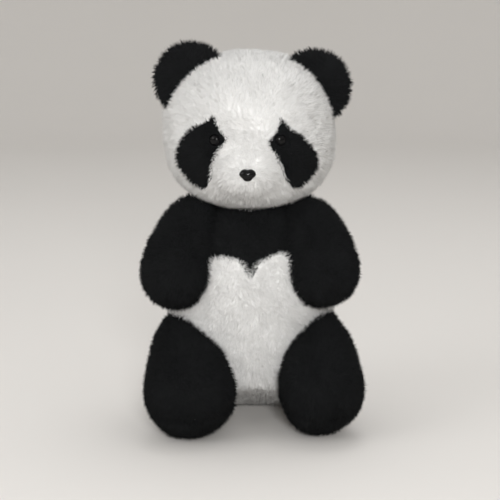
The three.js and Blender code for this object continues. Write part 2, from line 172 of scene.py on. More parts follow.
# ---- meshes

# A mesh from whole arrays: quads first, then triangles, with a UV place and a tone per vertex,
# which on plush carries painted shade as well as random tone.
def makeMesh(name, points, quads, triangles, uv, tone, normals=None):
    mesh = bpy.data.meshes.new(name)
    corners = np.concatenate([quads.ravel(), triangles.ravel()]).astype(np.int32)
    starts = np.concatenate([
        np.arange(len(quads)) * 4,
        len(quads) * 4 + np.arange(len(triangles)) * 3,
    ]).astype(np.int32)
    mesh.vertices.add(len(points))
    mesh.vertices.foreach_set("co", points.astype(np.float32).ravel())
    mesh.loops.add(len(corners))
    mesh.loops.foreach_set("vertex_index", corners)
    mesh.polygons.add(len(starts))
    mesh.polygons.foreach_set("loop_start", starts)
    mesh.update(calc_edges=True)
    mesh.polygons.foreach_set("use_smooth", np.ones(len(starts), bool))
    layer = mesh.uv_layers.new(name="OFBake")
    layer.data.foreach_set("uv", uv[corners].astype(np.float32).ravel())
    attribute = mesh.attributes.new("tone", "FLOAT", "POINT")
    attribute.data.foreach_set("value", tone.astype(np.float32))
    if normals is not None:
        mesh.normals_split_custom_set_from_vertices(normals.astype(np.float32))
    return mesh


# A mesh as a piece of the toy, with its material, that hides the nodes that it stands for.
def addPiece(name, mesh, material, nodes):
    piece = bpy.data.objects.new(name, mesh)
    bpy.context.scene.collection.objects.link(piece)
    mesh.materials.append(material)
    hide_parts(*nodes)
    return piece


# ---- plush panels

plush = {
    "skinDepth": 3.9 * mm,  # from the pile's tips down to the backing cloth
    "wall": 2.2 * mm,  # backing cloth with its quilting of stuffing
    "seamWidth": 5.0 * mm,
    "seamDepth": 2.6 * mm,
    "rootRadius": 18 * mm,  # bare cloth where a limb is sewn in
    "unevenness": 1.2 * mm,
    # The backing cloth under the pile is painted dark, as shade under the strands.
    "skinTone": 0.12,
    "columns": 52,
    "rows": 44,
}

pile = {
    "perSquareMm": 1.35, "length": 5.8 * mm, "lengthSpread": 0.26, "rootRadius": 0.48 * mm,
    "lean": 30.0, "leanSpread": 20.0, "swirl": 0.6, "clumpSize": 2.8 * mm, "clumping": 0.34,
    "swirlLength": 38 * mm, "stray": 0.35,
    "leastLean": 4, "mostLean": 72, "longest": 1.35,
    "clumpEdge": 0.15,  # how ragged the edges of clumps are, in clumps
    "thinnest": 0.75, "thickest": 1.2,
    "floorGap": 0.3 * mm,
    # The tones at root and tip paint shade along each strand: dark at the root, light at the tip.
    "rootSink": 0.8 * mm, "softness": 0.75, "rootTone": 0.1, "tipTone": 0.8,
    "toneSpread": 0.9,
    "rootTurn": 0.5, "tipTurn": 0.5,  # how far normals turn to the strand from the skin
    "roughness": 0.3,  # how far the tips' normals wander
    "bareTop": 0.0,  # of the panel's length, where the next panel's pile hangs over it
}
whitePile = {
    # The white pile's roots are painted darkest, as shade between the strands.
    "perSquareMm": 1.8, "rootRadius": 0.46 * mm, "softness": 0.8, "rootTone": 0.0,
    "toneSpread": 0.42, "clumpSize": 2.4 * mm, "clumping": 0.26, "lengthSpread": 0.18,
    "roughness": 0.45,
}


# The way out of a surface: the cross product of its two slopes, taken over small steps.
def outwardOf(surface, s, t):
    step = 1e-3
    across = surface(np.minimum(s + step, 1), t) - surface(np.maximum(s - step, 0), t)
    along = surface(s, np.minimum(t + step, 1)) - surface(s, np.maximum(t - step, 0))
    return unit(np.cross(across, along))


# A closed panel: the outer face on a grid, the same grid set back by the wall, and the rim
# between them.
def panelGrid(surface, wall, columns, rows):
    s, t = np.meshgrid(np.linspace(0, 1, columns), np.linspace(0, 1, rows), indexing="ij")
    s, t = s.ravel(), t.ravel()
    outer = surface(s, t)
    normals = outwardOf(surface, s, t)
    inner = outer - normals * wall
    index = np.arange(columns * rows).reshape(columns, rows)
    a, b = index[:-1, :-1].ravel(), index[1:, :-1].ravel()
    c, d = index[1:, 1:].ravel(), index[:-1, 1:].ravel()
    shift = columns * rows
    front = np.stack([a, b, c, d], axis=1)
    back = np.stack([d, c, b, a], axis=1) + shift
    loop = np.concatenate([index[:, 0], index[-1, 1:], index[-2::-1, -1], index[0, -2:0:-1]])
    following = np.roll(loop, -1)
    rim = np.stack([following, loop, loop + shift, following + shift], axis=1)
    points = np.concatenate([outer, inner])
    uv = np.stack([s, t], axis=1)
    return points, np.concatenate([front, back, rim]), np.concatenate([uv, uv]), np.concatenate(
        [normals, -normals])


# Places spread evenly over a surface's area: cells of a grid are drawn by their area, and each
# place is moved about inside its cell.
def scatter(surface, perSquareMm, rng):
    cells = 90
    s, t = np.meshgrid((np.arange(cells) + 0.5) / cells, (np.arange(cells) + 0.5) / cells)
    s, t = s.ravel(), t.ravel()
    half = 0.5 / cells
    across = surface(s + half, t) - surface(s - half, t)
    along = surface(s, t + half) - surface(s, t - half)
    areas = np.linalg.norm(np.cross(across, along), axis=1)
    count = int(areas.sum() / mm ** 2 * perSquareMm)
    drawn = rng.choice(len(areas), count, p=areas / areas.sum())
    jitter = rng.uniform(-half, half, (2, count))
    return s[drawn] + jitter[0], t[drawn] + jitter[1]


# Tapered strands: three corners round the root and one at the tip. Each leans away from the
# skin's outward direction, along the comb with a swirl, and tips that share a cell of space are
# drawn together. Their tone is painted shade, dark at the root and rising to light at the tip,
# and differs at random by strand and by cell.
def growStrands(surface, comb, keep, settings, rng):
    s, t = scatter(surface, settings["perSquareMm"], rng)
    roots = surface(s, t)
    outward = outwardOf(surface, s, t)
    kept = keep(roots) & (t <= 1 - settings["bareTop"])
    s, t, roots, outward = s[kept], t[kept], roots[kept], outward[kept]
    count = len(roots)

    lay = comb(roots)
    lay = lay + settings["swirl"] * np.stack(
        [waves(roots, settings["swirlLength"], seed) for seed in (11, 12, 13)], axis=1)
    lay = lay + settings["stray"] * rng.normal(size=(count, 3))
    lay = unit(lay - outward * np.sum(lay * outward, axis=1, keepdims=True))
    lean = np.radians(settings["lean"] + settings["leanSpread"] * rng.normal(size=count))
    lean = np.clip(lean, math.radians(settings["leastLean"]), math.radians(settings["mostLean"]))
    lean = lean[:, None]
    direction = outward * np.cos(lean) + lay * np.sin(lean)
    length = settings["length"] * np.exp(settings["lengthSpread"] * rng.normal(size=count))
    length = np.minimum(length, settings["longest"] * settings["length"])
    tips = roots + direction * length[:, None]

    ragged = rng.normal(scale=settings["clumpEdge"], size=(count, 3)) * settings["clumpSize"]
    cell = np.floor((roots + ragged) / settings["clumpSize"]).astype(np.int64)
    _, member = np.unique(cell, axis=0, return_inverse=True)
    member = member.ravel()
    population = np.bincount(member)
    centres = np.stack([np.bincount(member, tips[:, k]) / population for k in range(3)], axis=1)
    tips = tips + settings["clumping"] * (centres[member] - tips)

    roots = roots - outward * settings["rootSink"]
    direction = unit(tips - roots)
    sideways = unit(np.cross(direction, outward + 0.01 * lay))
    upwards = np.cross(direction, sideways)
    thickness = rng.uniform(settings["thinnest"], settings["thickest"], count)
    radius = settings["rootRadius"] * thickness[:, None]
    turn = rng.uniform(0, 2 * math.pi, count)
    corners = []
    cornerNormals = []
    for k in range(3):
        angle = (turn + 2 * math.pi * k / 3)[:, None]
        out = sideways * np.cos(angle) + upwards * np.sin(angle)
        corners.append(roots + out * radius)
        cornerNormals.append(unit(outward * settings["softness"] + out * settings["rootTurn"]))
    points = np.stack([*corners, tips], axis=1).reshape(-1, 3)
    points[:, 2] = np.maximum(points[:, 2], settings["floorGap"])
    wander = rng.normal(size=(len(population), 3))[member] + rng.normal(size=(count, 3))
    tipNormals = unit(outward * settings["softness"] + settings["tipTurn"] * direction
                      + settings["roughness"] * wander / 2)
    normals = np.stack([*cornerNormals, tipNormals], axis=1).reshape(-1, 3)
    first = np.arange(count) * 4
    triangles = np.concatenate([
        np.stack([first, first + 1, first + 3], axis=1),
        np.stack([first + 1, first + 2, first + 3], axis=1),
        np.stack([first + 2, first, first + 3], axis=1),
        np.stack([first + 2, first + 1, first], axis=1),
    ])
    uv = np.repeat(np.stack([s, t], axis=1), 4, axis=0)
    shade = settings["toneSpread"] * (rng.uniform(-0.5, 0.5, count)
                                      + rng.uniform(-0.5, 0.5, len(population))[member])
    # Painted shade along each strand: the root's tone dark, the tip's light.
    low = settings["rootTone"]
    tone = np.tile([low, low, low, settings["tipTone"]], (count, 1)) + shade[:, None]
    tone = np.clip(tone, 0, 1).ravel()
    return points, triangles, uv, tone, normals


panelCount = 0


# One plush panel: a closed skin and its pile, in one mesh.
def addPanel(name, node, surface, material, slot, comb, keep, **changes):
    global panelCount
    panelCount += 1
    settings = {**pile, **(whitePile if material is whitePlush else {}), **changes}
    rng = np.random.default_rng(100 + panelCount)
    skin, quads, skinUv, skinNormals = panelGrid(
        surface, plush["wall"], plush["columns"], plush["rows"])
    points, triangles, uv, tone, normals = growStrands(surface, comb, keep, settings, rng)
    mesh = makeMesh(
        name, np.concatenate([skin, points]), quads, triangles + len(skin),
        # The skin takes its painted shade tone, and the strands theirs from root to tip.
        np.concatenate([skinUv, uv]), np.concatenate([np.full(len(skin), plush["skinTone"]), tone]),
        np.concatenate([skinNormals, normals]))
    piece = addPiece(name, mesh, material, [node])
    return piece


# A part of a surface between two values of `around` and two curves of `rise`, as a panel with
# its own two parameters. Its edges sink into the seams.
def panelOf(surface, aroundFrom, aroundTo, riseFrom, riseTo, seams):
    low = riseFrom if callable(riseFrom) else (lambda around: np.full_like(around, riseFrom))
    high = riseTo if callable(riseTo) else (lambda around: np.full_like(around, riseTo))

    def place(s, t):
        around = aroundFrom + (aroundTo - aroundFrom) * s
        rise = low(around) + (high(around) - low(around)) * t
        return surface(around, rise, seamSink(s, t, seams))
    return place


# How far the cloth is drawn in at each place: most at a seam, gone a seam's width away from it.
def seamSink(s, t, seams):
    sink = np.zeros_like(s)
    for edge, size in seams.items():
        far = {"s0": s, "s1": 1 - s, "t0": t, "t1": 1 - t}[edge] * size
        sink = np.maximum(sink, np.exp(-(far / plush["seamWidth"]) ** 2))
    return sink * plush["seamDepth"]


# ---- materials

# Matt pile: a slow mottle and a fine grain in the colour, with painted shade that darkens it
# towards the strands' roots and the cloth under them, and a sheen at grazing angles.
def plushMaterial(name, deep, light, sheen, specular, roughness):
    material = bpy.data.materials.new(name)
    material.use_nodes = True
    nodes, links = material.node_tree.nodes, material.node_tree.links
    shader = nodes["Principled BSDF"]
    place = nodes.new("ShaderNodeTexCoord")
    mottle = nodes.new("ShaderNodeTexNoise")
    mottle.inputs["Scale"].default_value = 55
    mottle.inputs["Detail"].default_value = 3
    grain = nodes.new("ShaderNodeTexNoise")
    grain.inputs["Scale"].default_value = 900
    grain.inputs["Detail"].default_value = 2
    # The tone attribute: random tone, and painted shade that is dark at the strands' roots.
    tone = nodes.new("ShaderNodeAttribute")
    tone.attribute_name = "tone"
    blend = nodes.new("ShaderNodeMath")
    blend.operation = "MULTIPLY_ADD"
    blend.inputs[1].default_value = 0.5
    lift = nodes.new("ShaderNodeMath")
    lift.operation = "MULTIPLY_ADD"
    lift.inputs[1].default_value = 0.6
    colour = nodes.new("ShaderNodeValToRGB")
    colour.color_ramp.elements[0].position = 0.3
    colour.color_ramp.elements[0].color = (*deep, 1)
    colour.color_ramp.elements[1].position = 0.95
    colour.color_ramp.elements[1].color = (*light, 1)
    bump = nodes.new("ShaderNodeBump")
    bump.inputs["Strength"].default_value = 0.25
    bump.inputs["Distance"].default_value = 0.0006
    rough = nodes.new("ShaderNodeMapRange")
    rough.inputs["To Min"].default_value = roughness - 0.06
    rough.inputs["To Max"].default_value = roughness + 0.04
    links.new(place.outputs["Object"], mottle.inputs["Vector"])
    links.new(place.outputs["Object"], grain.inputs["Vector"])
    links.new(mottle.outputs["Fac"], blend.inputs[0])
    links.new(tone.outputs["Fac"], lift.inputs[0])
    links.new(blend.outputs[0], lift.inputs[2])
    links.new(lift.outputs[0], colour.inputs["Fac"])
    links.new(colour.outputs["Color"], shader.inputs["Base Color"])
    links.new(grain.outputs["Fac"], bump.inputs["Height"])
    links.new(bump.outputs["Normal"], shader.inputs["Normal"])
    links.new(grain.outputs["Fac"], rough.inputs["Value"])
    links.new(rough.outputs["Result"], shader.inputs["Roughness"])
    shader.inputs["Sheen Weight"].default_value = sheen
    shader.inputs["Sheen Roughness"].default_value = 0.5
    shader.inputs["Specular IOR Level"].default_value = specular
    return material


# Any other finish: a base colour with a fine mottle, and roughness that wanders a little.
def plainMaterial(name, colour, roughness, scale, variation, ior=1.5, bumpDepth=0.0):
    material = bpy.data.materials.new(name)
    material.use_nodes = True
    nodes, links = material.node_tree.nodes, material.node_tree.links
    shader = nodes["Principled BSDF"]
    place = nodes.new("ShaderNodeTexCoord")
    noise = nodes.new("ShaderNodeTexNoise")
    noise.inputs["Scale"].default_value = scale
    noise.inputs["Detail"].default_value = 4
    tint = nodes.new("ShaderNodeValToRGB")
    darker = [max(0, c - variation) for c in colour]
    lighter = [min(1, c + variation) for c in colour]
    tint.color_ramp.elements[0].color = (*darker, 1)
    tint.color_ramp.elements[1].color = (*lighter, 1)
    rough = nodes.new("ShaderNodeMapRange")
    rough.inputs["To Min"].default_value = max(0.02, roughness - 0.05)
    rough.inputs["To Max"].default_value = min(1, roughness + 0.05)
    links.new(place.outputs["Object"], noise.inputs["Vector"])
    links.new(noise.outputs["Fac"], tint.inputs["Fac"])
    links.new(tint.outputs["Color"], shader.inputs["Base Color"])
    links.new(noise.outputs["Fac"], rough.inputs["Value"])
    links.new(rough.outputs["Result"], shader.inputs["Roughness"])
    shader.inputs["IOR"].default_value = ior
    if bumpDepth:
        bump = nodes.new("ShaderNodeBump")
        bump.inputs["Distance"].default_value = bumpDepth
        links.new(noise.outputs["Fac"], bump.inputs["Height"])
        links.new(bump.outputs["Normal"], shader.inputs["Normal"])
    return material


whitePlush = plushMaterial("whitePile", (0.50, 0.495, 0.485), (0.92, 0.915, 0.90), 0.08, 0.05,
                           0.9)
blackPlush = plushMaterial("blackPile", (0.0008, 0.0009, 0.001), (0.015, 0.0158, 0.0166),
                           0.01, 0.05, 0.92)
stuffingFibre = plainMaterial("stuffingFibre", (0.86, 0.85, 0.82), 0.95, 240, 0.05,
                              bumpDepth=1.2 * mm)
sewingThread = plainMaterial("sewingThread", (0.83, 0.82, 0.78), 0.8, 2600, 0.06,
                             bumpDepth=0.2 * mm)
washerPlastic = plainMaterial("washerPlastic", (0.72, 0.72, 0.68), 0.45, 130, 0.03)
glossBlack = plainMaterial("glossBlack", (0.002, 0.002, 0.0023), 0.08, 320, 0.001, ior=1.3)
print("materials made")


# ---- the head's form comes first, because the torso's pile stops under it

headShape = {
    "halfWidth": 75.5 * mm, "halfDepth": 68 * mm, "up": 63 * mm, "down": 73.5 * mm,
    "upPower": 2.0, "downPower": 3.0, "height": 70 * mm, "forward": 5 * mm,
    "unevenness": 1.0 * mm, "lumpLength": 65 * mm, "faceOffset": -2 * mm, "faceEdge": 0.226,
    "lowEnd": 0.015, "highEnd": 0.985, "panelWidth": 120.8 * mm,
}
headForm = makeForm(
    (neckPoint[0], floorDepth - headShape["forward"],
     neckPoint[2] + headShape["height"]),
    (0, 0, 1), headShape["halfWidth"], headShape["halfDepth"], headShape["up"],
    headShape["down"], headShape["upPower"], headShape["downPower"])

# ---- torso

torsoShape = {
    "halfWidth": 75 * mm, "halfDepth": 62 * mm, "widestAt": 85 * mm, "top": 195 * mm,
    "bottom": -5 * mm, "upPower": 2.9, "downPower": 2.6,
    "yokeHeight": 152 * mm, "yokeRises": {0.066: 8 * mm, -0.055: 3 * mm}, "riseWidth": 0.032,
    "tuftDrop": 14 * mm, "tuftWidth": 0.013,
    "yokeFringe": 1.0 * mm,  # bare of white pile under the yoke's own
    "yokeLength": 50 * mm, "lowerLength": 130 * mm, "panelWidth": 90 * mm,
    "lumpLength": 70 * mm, "floorGap": 1.6 * mm, "floorBend": 5 * mm,
    "underHead": 3 * mm,  # of bare cloth, next to where the head meets the shoulders
    "seatFront": 14 * mm, "seatRise": 27.0, "seatSeam": 7 * mm, "unevenness": 1.1 * mm,
}

torsoForm = makeForm(
    (neckPoint[0], floorDepth, torsoShape["widestAt"]), (0, 0, 1),
    torsoShape["halfWidth"], torsoShape["halfDepth"],
    torsoShape["top"] - torsoShape["widestAt"], torsoShape["widestAt"] - torsoShape["bottom"],
    torsoShape["upPower"], torsoShape["downPower"])


# The height of the toy's underside: on the floor at the back, rising towards the front.
def undersideHeight(points):
    ahead = torsoShape["seatFront"] - (points[:, 1] - floorDepth)
    return np.maximum(0, ahead) * math.tan(math.radians(torsoShape["seatRise"]))


# The torso: its egg set back by the pile, drawn in at seams, and pressed flat underneath.
def torsoSurface(around, rise, sink):
    points = eggPoints(torsoForm, around, rise, -plush["skinDepth"])
    middle = np.array([neckPoint[0], floorDepth, 0.1])
    points = points + unit(points - middle) * (
        lumps(points, torsoShape["unevenness"], torsoShape["lumpLength"], 3) - sink)[:, None]
    floor = undersideHeight(points) + torsoShape["floorGap"]
    points[:, 2] = softMax(points[:, 2], floor, torsoShape["floorBend"])
    return points


# Which rise a height has on an upright egg.
def riseAt(form, height):
    dz = height - form["centre"][2]
    power = np.where(dz > 0, form["upPower"], form["downPower"])
    reach = np.where(dz > 0, form["reachUp"], form["reachDown"])
    part = np.clip(np.abs(dz) / reach, 0, 1)
    return 0.5 + np.sign(dz) * np.arcsin(part ** (power / 2)) / math.pi


# The yoke's lower edge: level, with a low hump on each side of the front and a small point at
# its middle.
def yokeRise(around):
    height = torsoShape["yokeHeight"] - torsoShape["tuftDrop"] * np.exp(
        -(around / torsoShape["tuftWidth"]) ** 2)
    for place, rise in torsoShape["yokeRises"].items():
        height = height + rise * np.exp(-((around - place) / torsoShape["riseWidth"]) ** 2)
    return riseAt(torsoForm, height)


# The seat's edge: where the torso's egg comes within the seam height of the sloping underside.
def seatRiseOf(around):
    rises = np.linspace(0.02, 0.5, 120)
    result = np.empty_like(around)
    grid = np.repeat(around[:, None], len(rises), axis=1).ravel()
    points = eggPoints(torsoForm, grid, np.tile(rises, len(around)), -plush["skinDepth"])
    above = points[:, 2] - undersideHeight(points) - torsoShape["seatSeam"]
    above = above.reshape(len(around), len(rises))
    first = np.argmax(above > 0, axis=1)
    result[:] = rises[first]
    return result


# No pile where a limb is sewn in, or under the head.
def clearOfRoots(points):
    clear = eggLevel(headForm, points, -plush["skinDepth"] - torsoShape["underHead"]) > 1
    for name, joint in joints.items():
        if name.startswith(("arm", "leg")):
            clear &= np.linalg.norm(points - jointPoint(name), axis=1) > plush["rootRadius"]
    return clear


# Tangent to the body and downwards.
def combDown(points):
    return np.tile([0.0, -0.1, -1.0], (len(points), 1))


# ---- arms and legs

limbShape = {
    "lumpLength": 60 * mm, "kneeLow": 40 * mm, "kneeHigh": 80 * mm,
    "floorGap": 1.4 * mm, "floorBend": 4 * mm,
    "lowEnd": 0.01, "highEnd": 0.97,  # of a limb's own length, where its panels start and stop
    "bendLength": 14 * mm,  # of cloth that bends, on each side of the joint
}
armShape = {
    "radius": 33 * mm, "halfDepth": 29 * mm, "shoulderLength": 70 * mm,
    "pawLength": 36 * mm, "upPower": 2.3, "downPower": 2.2,
    "pawOut": {"left": 7 * mm, "right": 7.5 * mm}, "pawForward": 13 * mm, "pawDown": 22 * mm,
}
legShape = {
    "radius": {"left": 37.5 * mm, "right": 40.3 * mm}, "halfDepth": 43 * mm,
    "hipLength": 92 * mm, "footLength": {"left": 37.2 * mm, "right": 37.6 * mm},
    "upPower": {"left": 1.32, "right": 1.3}, "downPower": 2.2,
    "hipOut": {"left": 1.5 * mm, "right": 0.0},  # the thigh's bulge to the side
    "footForward": {"left": 38 * mm, "right": 44 * mm}, "footHeight": 41 * mm,
    "footOut": {"left": -1 * mm, "right": -10 * mm},
}


# An arm's egg: its middle is the paw's, out, forward and down from the shoulder, and its axis
# runs from there to the shoulder.
def armForm(sideName):
    pivot = jointPoint(f"arm_{sideName}_lift")
    paw = pivot + np.array([sides[sideName] * armShape["pawOut"][sideName],
                            -armShape["pawForward"], -armShape["pawDown"]])
    return makeForm(paw, pivot - paw, armShape["radius"], armShape["halfDepth"],
                    armShape["shoulderLength"], armShape["pawLength"], armShape["upPower"],
                    armShape["downPower"])


# A leg's egg: its middle is the foot's, and its axis runs from there to the hip.
def legForm(sideName):
    pivot = jointPoint(f"leg_{sideName}_lift")
    foot = np.array([pivot[0] + sides[sideName] * legShape["footOut"][sideName],
                     pivot[1] - legShape["footForward"][sideName], legShape["footHeight"]])
    return makeForm(foot, pivot - foot, legShape["radius"][sideName], legShape["halfDepth"],
                    legShape["hipLength"], legShape["footLength"][sideName],
                    legShape["upPower"][sideName], legShape["downPower"])


# A limb: its egg set back by the pile, moved aside by `out` above the knee, a little uneven,
# and drawn in at its seams.
def limbSurface(form, seed, out):
    def place(around, rise, sink):
        points = eggPoints(form, around, rise, -plush["skinDepth"])
        outward = unit(points - form["centre"])
        points[:, 0] += out * smoothStep(points[:, 2], limbShape["kneeLow"], limbShape["kneeHigh"])
        points = points + outward * (
            lumps(points, plush["unevenness"], limbShape["lumpLength"], seed) - sink)[:, None]
        floor = np.full(len(points), limbShape["floorGap"])
        points[:, 2] = softMax(points[:, 2], floor, limbShape["floorBend"])
        return points
    return place


# A limb's front and back panels, each half a turn of its egg.
def addLimb(kind, sideName, form, seed, out=0.0):
    surface = limbSurface(form, seed, out)
    pivot = jointPoint(f"{kind}_{sideName}_lift")

    def combToPaw(points):
        return np.tile(-form["up"], (len(points), 1))

    def clearOfRoot(points):
        return np.linalg.norm(points - pivot, axis=1) > plush["rootRadius"]

    panels = {"front": (-0.25, 0.25), "back": (0.25, 0.75)}
    for panelName, (start, end) in panels.items():
        node = f"{kind}_{panelName}_{sideName}"
        seams = {"s0": 2 * form["halfWidth"], "s1": 2 * form["halfWidth"]}
        panel = panelOf(surface, start, end, limbShape["lowEnd"], limbShape["highEnd"], seams)
        piece = addPanel(f"{node}_plush", node, panel, blackPlush, "black_plush",
                         combToPaw, clearOfRoot)
        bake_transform(piece)


# The torso's panels: front and back quarters of its turn, each split at the yoke's lower edge,
# and one seat under them.
def addTorso():
    halves = {"left": (0.0, 0.25, 0.25, 0.5), "right": (-0.25, 0.0, -0.5, -0.25)}
    width = torsoShape["panelWidth"]
    for sideName, (frontFrom, frontTo, backFrom, backTo) in halves.items():
        spans = {
            "chest": (frontFrom, frontTo, yokeRise, 0.985, blackPlush, "black_plush"),
            "belly": (frontFrom, frontTo, seatRiseOf, yokeRise, whitePlush, "white_plush"),
            "back_upper": (backFrom, backTo, yokeRise, 0.985, blackPlush, "black_plush"),
            "back_lower": (backFrom, backTo, seatRiseOf, yokeRise, whitePlush, "white_plush"),
        }
        for panelName, (start, end, low, high, material, slot) in spans.items():
            node = f"{panelName}_{sideName}"
            sideSeam = {"left": "s1", "right": "s0"}[sideName]
            seams = {sideSeam: width}
            if panelName.startswith("back"):
                seams = {"s0": width, "s1": width}
            changes = {}
            if material is whitePlush:
                seams["t1"] = torsoShape["lowerLength"]
                changes["bareTop"] = torsoShape["yokeFringe"] / torsoShape["lowerLength"]
            else:
                seams["t0"] = torsoShape["yokeLength"]
            panel = panelOf(torsoSurface, start, end, low, high, seams)
            piece = addPanel(f"{node}_plush", node, panel, material, slot, combDown,
                             clearOfRoots, **changes)
            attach(piece, "torso")
    seat = panelOf(torsoSurface, -0.5, 0.5, 0.02, seatRiseOf, {})
    piece = addPanel("seat_panel_plush", "seat_panel", seat, whitePlush, "white_plush",
                     combDown, clearOfRoots, perSquareMm=1.2, length=4.5 * mm, lean=44.0)
    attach(piece, "torso")


addTorso()
for sideName in sides:
    addLimb("arm", sideName, armForm(sideName), 21)
    addLimb("leg", sideName, legForm(sideName), 31,
            sides[sideName] * legShape["hipOut"][sideName])
print("torso, arms and legs made")


# ---- head and ears: where the ears stand comes first, because the head's pile stops at them

earShape = {
    "radius": 34 * mm, "halfThickness": 7.5 * mm, "raise": {"left": 29.0, "right": 36.0},
    "bendInset": 2.5 * mm, "bendLength": 8 * mm, "dish": 2.5 * mm, "lump": 0.6 * mm,
    "pileSink": 0.45,  # of the skin's depth, taken off half the thickness
    "innermost": 0.02, "overHead": 2.5 * mm,
    "bare": 2.2 * mm,  # of the head's pile, in front of the ear and behind it
}


# An ear's middle, and its direction away from the head.
def earPlace(sideName):
    rise = math.radians(earShape["raise"][sideName])
    outward = np.array([sides[sideName] * math.cos(rise), 0.0, math.sin(rise)])
    return jointPoint(f"ear_{sideName}_fold") - outward * earShape["bendInset"], outward


muzzleShape = {
    "halfWidth": 30 * mm, "halfHeight": 22 * mm, "halfDepth": 26 * mm, "below": 40 * mm,
    "forward": 45 * mm, "softness": 9 * mm,
    "fadeFrom": 10 * mm, "fadeTo": 35 * mm,  # ahead of the head's middle
    "fallBack": 30 * mm,
}
faceMiddle = headForm["centre"][0] + headShape["faceOffset"]
muzzleCentre = np.array([
    faceMiddle, headForm["centre"][1] - muzzleShape["forward"],
    headForm["centre"][2] - muzzleShape["below"]])


# The muzzle's depth at a place across and up: an ellipsoid's front, or far back outside it.
def muzzleFront(x, z, grow):
    across = (x - muzzleCentre[0]) / (muzzleShape["halfWidth"] + grow)
    up = (z - muzzleCentre[2]) / (muzzleShape["halfHeight"] + grow)
    inside = 1 - across ** 2 - up ** 2
    bulge = np.sqrt(np.maximum(inside, 0))
    depth = muzzleCentre[1] - (muzzleShape["halfDepth"] + grow) * bulge
    return depth + np.maximum(-inside, 0) * muzzleShape["fallBack"]


# The front half takes the muzzle in with a soft edge: whichever of head and muzzle lies
# further forward.
def withMuzzle(points, grow):
    ahead = smoothStep(-(points[:, 1] - headForm["centre"][1]), muzzleShape["fadeFrom"],
                       muzzleShape["fadeTo"])
    front = -softMax(-points[:, 1], -muzzleFront(points[:, 0], points[:, 2], grow),
                     muzzleShape["softness"])
    moved = points.copy()
    moved[:, 1] = points[:, 1] + ahead * (front - points[:, 1])
    return moved


# The head: its egg set back by the pile, uneven, drawn in at seams, with the muzzle on it.
def headSurface(around, rise, sink):
    points = eggPoints(headForm, around, rise, -plush["skinDepth"])
    outward = unit(points - headForm["centre"])
    points = points + outward * (
        lumps(points, headShape["unevenness"], headShape["lumpLength"], 41) - sink)[:, None]
    return withMuzzle(points, -plush["skinDepth"])


# The head's front surface at a place across and up.
def faceDepth(x, z, grow):
    dz = z - headForm["centre"][2]
    power = np.where(dz > 0, headForm["upPower"], headForm["downPower"])
    reach = np.where(dz > 0, headForm["reachUp"], headForm["reachDown"]) + grow
    spread = (1 - np.minimum(np.abs(dz / reach), 0.999) ** power) ** (1 / power)
    across = (x - headForm["centre"][0]) / ((headForm["halfWidth"] + grow) * spread)
    across = np.clip(across, -0.999, 0.999)
    y = headForm["centre"][1] - (headForm["halfDepth"] + grow) * spread * np.sqrt(
        1 - across ** 2)
    points = np.stack([x, y, z], axis=1)
    outward = unit(points - headForm["centre"])
    y = y + outward[:, 1] * lumps(points, headShape["unevenness"], headShape["lumpLength"], 41)
    return withMuzzle(np.stack([x, y, z], axis=1), grow)[:, 1]


patchShape = {
    # From the face's middle outwards, and up from the head's middle, in millimetres.
    "left": [(28, 8), (30, 2), (36, -4), (45, -10), (52, -18), (58, -27), (59, -36), (54, -45),
             (48, -51), (41, -54), (34, -49), (30, -41), (27, -31), (21, -21), (18, -13),
             (22, -7), (25, -1)],
    "right": [(32, 9), (36, 5), (43, 1), (52, -5), (60, -15), (64, -26), (62, -39), (54, -48),
              (46, -53), (40, -54), (35, -48), (33, -40), (33, -31), (30, -22), (26, -16),
              (22, -11), (26, -5), (29, 1)],
    "corners": 96, "height": 0.8 * mm, "edgeFrom": 0.85, "innermost": 0.02,
    "fringe": 0.7 * mm,  # bare of white pile round the patch
    "fringeReach": 6 * mm,  # of the pile that the patch pushes aside
    "push": 1.5,  # against the comb's own pull
}


# A closed smooth outline through corner points: each stretch is a Catmull-Rom cubic.
def smoothOutline(corners, count):
    corners = np.array(corners, float) * mm
    n = len(corners)
    place = np.arange(count) / count * n
    k = place.astype(int)
    t = (place - k)[:, None]
    p0, p1, p2, p3 = (corners[(k + shift) % n] for shift in (-1, 0, 1, 2))
    return 0.5 * (2 * p1 + (p2 - p0) * t + (2 * p0 - 5 * p1 + 4 * p2 - p3) * t ** 2
                  + (3 * p1 - p0 - 3 * p2 + p3) * t ** 3)


# A patch's outline in the toy's own place, across and up.
def patchOutline(sideName):
    outline = smoothOutline(patchShape[sideName], patchShape["corners"])
    outline[:, 0] = headForm["centre"][0] + sides[sideName] * outline[:, 0]
    outline[:, 1] += headForm["centre"][2]
    return outline


patchOutlines = {sideName: patchOutline(sideName) for sideName in sides}


# Inside a closed outline: a level line from the point crosses its edges an odd number of times.
def insideOutline(outline, x, z):
    x1, z1 = outline[:, 0], outline[:, 1]
    x2, z2 = np.roll(x1, -1), np.roll(z1, -1)
    crosses = (z1 > z[:, None]) != (z2 > z[:, None])
    level = x1 + (z[:, None] - z1) * (x2 - x1) / np.where(z2 == z1, 1e-9, z2 - z1)
    return (crosses & (x[:, None] < level)).sum(axis=1) % 2 == 1


eyeShape = {
    "radius": 5.0 * mm, "proud": 3.4 * mm, "spacing": 57 * mm, "below": 11 * mm,
    "behind": 4.0 * mm, "bare": 3.9 * mm, "sink": 2.2 * mm,
}
noseShape = {
    "halfWidth": 6.7 * mm, "halfHeight": 5.0 * mm, "proud": 4.0 * mm, "below": 39 * mm,
    "behind": 4.0 * mm, "bare": 5.0 * mm, "sink": 1.2 * mm,
}


# An eye stands half the spacing away from the face's middle.
def eyePlace(sideName):
    x = faceMiddle + sides[sideName] * eyeShape["spacing"] / 2
    z = headForm["centre"][2] - eyeShape["below"]
    return surfaceSpot(x, z)


